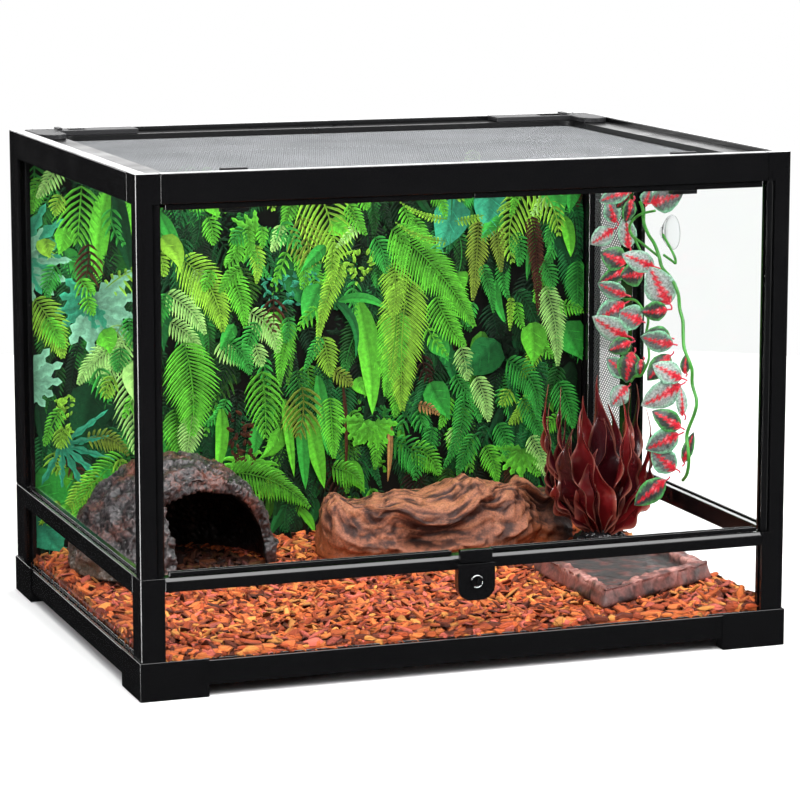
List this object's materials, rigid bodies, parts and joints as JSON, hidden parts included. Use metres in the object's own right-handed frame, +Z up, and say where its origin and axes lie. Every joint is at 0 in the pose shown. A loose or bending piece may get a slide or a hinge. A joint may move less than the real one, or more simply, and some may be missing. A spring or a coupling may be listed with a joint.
{
  "type": "front-opening glass terrarium",
  "caption": "Knock-down glass terrarium for a small pet, with a black frame, two front doors on a key latch, a lift-off screen lid, bark bedding, hide, driftwood, dish and plants.",
  "frame": {"origin": "centre of the bounding box's underside, at the level the feet stand on", "axes": "+X to the right seen from the doors, +Y from the doors to the back wall, +Z up"},
  "size_m": [0.613, 0.471, 0.4577],
  "materials": {
    "black_plastic": "glossy moulded and extruded",
    "clear_glass": "clear float glass, polished edges",
    "woven_screen": "woven wire",
    "foliage_print": "printed sheet",
    "key_metal": "plated",
    "bark": "chipped pine bark",
    "dark_rock": "cast resin and stone, rough",
    "driftwood": "weathered",
    "dish_stone": "cast resin and stone, satin",
    "black_pebble": "polished pebbles in resin",
    "red_leaf": "soft plastic, waxy",
    "vine_leaf": "soft plastic, printed",
    "clear_vinyl": "clear soft vinyl"
  },
  "bodies": {
    "tank": {"front_left_foot": "black_plastic", "front_left_lower_post": "black_plastic", "front_left_upper_post": "black_plastic", "front_right_foot": "black_plastic", "front_right_lower_post": "black_plastic", "front_right_upper_post": "black_plastic", "front_base_rail": "black_plastic", "front_top_rail": "black_plastic", "back_left_foot": "black_plastic", "back_left_lower_post": "black_plastic", "back_left_upper_post": "black_plastic", "back_right_foot": "black_plastic", "back_right_lower_post": "black_plastic", "back_right_upper_post": "black_plastic", "back_base_rail": "black_plastic", "back_top_rail": "black_plastic", "left_base_rail": "black_plastic", "left_middle_rail": "black_plastic", "left_top_rail": "black_plastic", "right_base_rail": "black_plastic", "right_middle_rail": "black_plastic", "right_top_rail": "black_plastic", "front_middle_rail": "black_plastic", "vent_stile": "black_plastic", "floor_glass": "clear_glass", "lower_front_glass": "clear_glass", "back_glass": "clear_glass", "lower_left_glass": "clear_glass", "lower_right_glass": "clear_glass", "left_side_glass": "clear_glass", "right_side_glass": "clear_glass", "vent_screen": "woven_screen", "background_card": "foliage_print", "latch_plate": "black_plastic", "bark_bedding": "bark", "rock_hide": "dark_rock", "driftwood_log": "driftwood", "water_dish": "dish_stone", "plant_base": "black_pebble", "aloe_plant": "red_leaf", "hanging_vine": "vine_leaf", "suction_cup": "clear_vinyl"},
    "left_door": {"left_door_glass": "clear_glass", "left_hinge_stile": "black_plastic", "left_door_top_strip": "black_plastic", "left_door_bottom_strip": "black_plastic"},
    "right_door": {"right_door_glass": "clear_glass", "right_hinge_stile": "black_plastic", "right_door_top_strip": "black_plastic", "right_door_bottom_strip": "black_plastic"},
    "bolt": {"latch_bolt": "black_plastic"},
    "key": {"key_cylinder": "key_metal"},
    "lid": {"screen_frame": "black_plastic", "lid_screen": "woven_screen", "left_cable_port": "black_plastic", "right_cable_port": "black_plastic"},
    "left_lock": {"left_turn_lock": "black_plastic"},
    "left_gate": {"left_port_gate": "black_plastic"},
    "right_lock": {"right_turn_lock": "black_plastic"},
    "right_gate": {"right_port_gate": "black_plastic"}
  },
  "joints": [
    {"name": "left_door_hinge", "type": "hinge", "parent": "tank", "child": "left_door", "pos_m": [-0.286, -0.22, 0.268], "axis": [0, 0, -1], "range_deg": [0, 100]},
    {"name": "right_door_hinge", "type": "hinge", "parent": "tank", "child": "right_door", "pos_m": [0.286, -0.22, 0.268], "axis": [0, 0, 1], "range_deg": [0, 100]},
    {"name": "key_turn", "type": "hinge", "parent": "tank", "child": "key", "pos_m": [0, -0.235, 0.0848], "axis": [0, 1, 0], "range_deg": [0, 90]},
    {"name": "bolt_slide", "type": "slide", "parent": "tank", "child": "bolt", "axis": [0, 0, 1], "range_m": [0, 0.0081]},
    {"name": "lid_lift", "type": "slide", "parent": "tank", "child": "lid", "axis": [0, 0, 1], "range_m": [0, 0.1]},
    {"name": "left_lock_turn", "type": "hinge", "parent": "lid", "child": "left_lock", "pos_m": [-0.2105, -0.1995, 0.4517], "axis": [0, 0, 1], "range_deg": [0, 90]},
    {"name": "right_lock_turn", "type": "hinge", "parent": "lid", "child": "right_lock", "pos_m": [0.2105, -0.1995, 0.4517], "axis": [0, 0, -1], "range_deg": [0, 90]},
    {"name": "left_gate_slide", "type": "slide", "parent": "lid", "child": "left_gate", "axis": [1, 0, 0], "range_m": [0, 0.016]},
    {"name": "right_gate_slide", "type": "slide", "parent": "lid", "child": "right_gate", "axis": [-1, 0, 0], "range_m": [0, 0.016]}
  ],
  "couplings": [
    {"joint": "bolt_slide", "follows": "key_turn", "m_per_rad": 0.0051}
  ]
}
